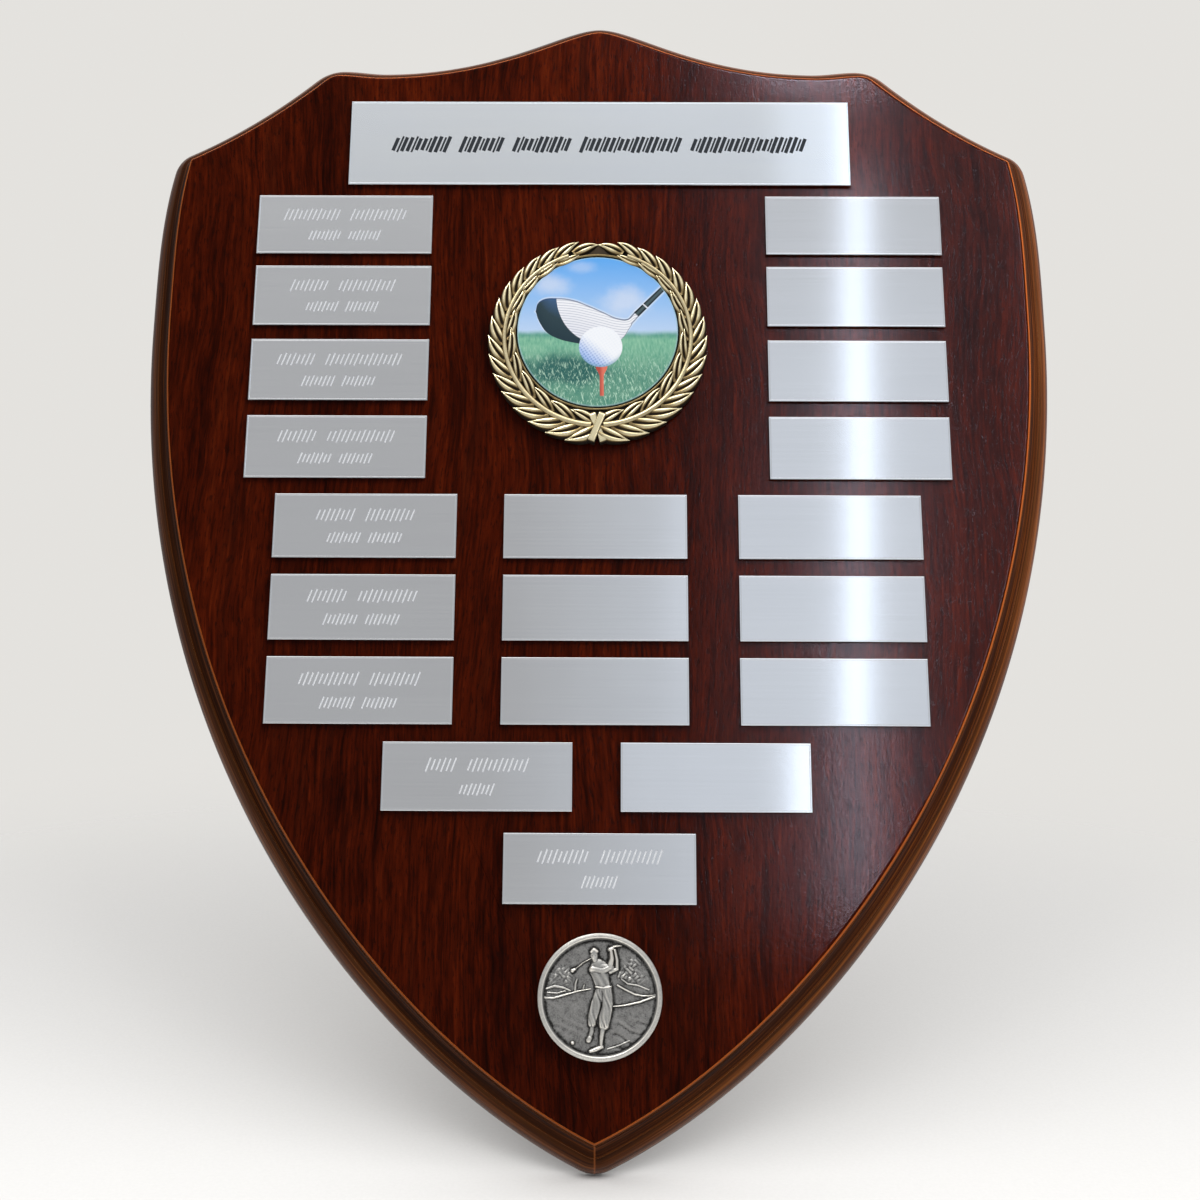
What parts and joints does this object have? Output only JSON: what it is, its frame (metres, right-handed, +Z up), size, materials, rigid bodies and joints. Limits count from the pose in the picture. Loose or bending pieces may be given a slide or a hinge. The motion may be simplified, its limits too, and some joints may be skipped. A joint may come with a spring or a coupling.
{
  "type": "wooden award shield plaque",
  "caption": "Wall plaque: a moulded wooden shield board carrying a header plate, rows of small name plates, a laurel wreath round a printed centre, and a relief medal.",
  "frame": {"origin": "middle of the flat back face, on the shield's centre line and half way up", "axes": "+X to the right seen from the front, +Y out of the back toward the wall, +Z up toward the crest"},
  "size_m": [0.2856, 0.0215, 0.3628],
  "materials": {
    "wood": "dark mahogany veneer under satin lacquer",
    "aluminium": "satin, finely brushed along its length",
    "gold": "antique gold with dark hollows",
    "print": "printed picture under clear film",
    "pewter": "antique pewter with dark hollows"
  },
  "bodies": {
    "root": {"shield_board": "wood", "header_plate": "aluminium", "name_plate_01": "aluminium", "name_plate_02": "aluminium", "name_plate_03": "aluminium", "name_plate_04": "aluminium", "name_plate_05": "aluminium", "name_plate_06": "aluminium", "name_plate_07": "aluminium", "name_plate_08": "aluminium", "name_plate_09": "aluminium", "name_plate_10": "aluminium", "name_plate_11": "aluminium", "name_plate_12": "aluminium", "name_plate_13": "aluminium", "name_plate_14": "aluminium", "name_plate_15": "aluminium", "name_plate_16": "aluminium", "name_plate_17": "aluminium", "name_plate_18": "aluminium", "name_plate_19": "aluminium", "name_plate_20": "aluminium", "wreath": "gold", "centre_disc": "print", "medal": "pewter"}
  },
  "joints": []
}
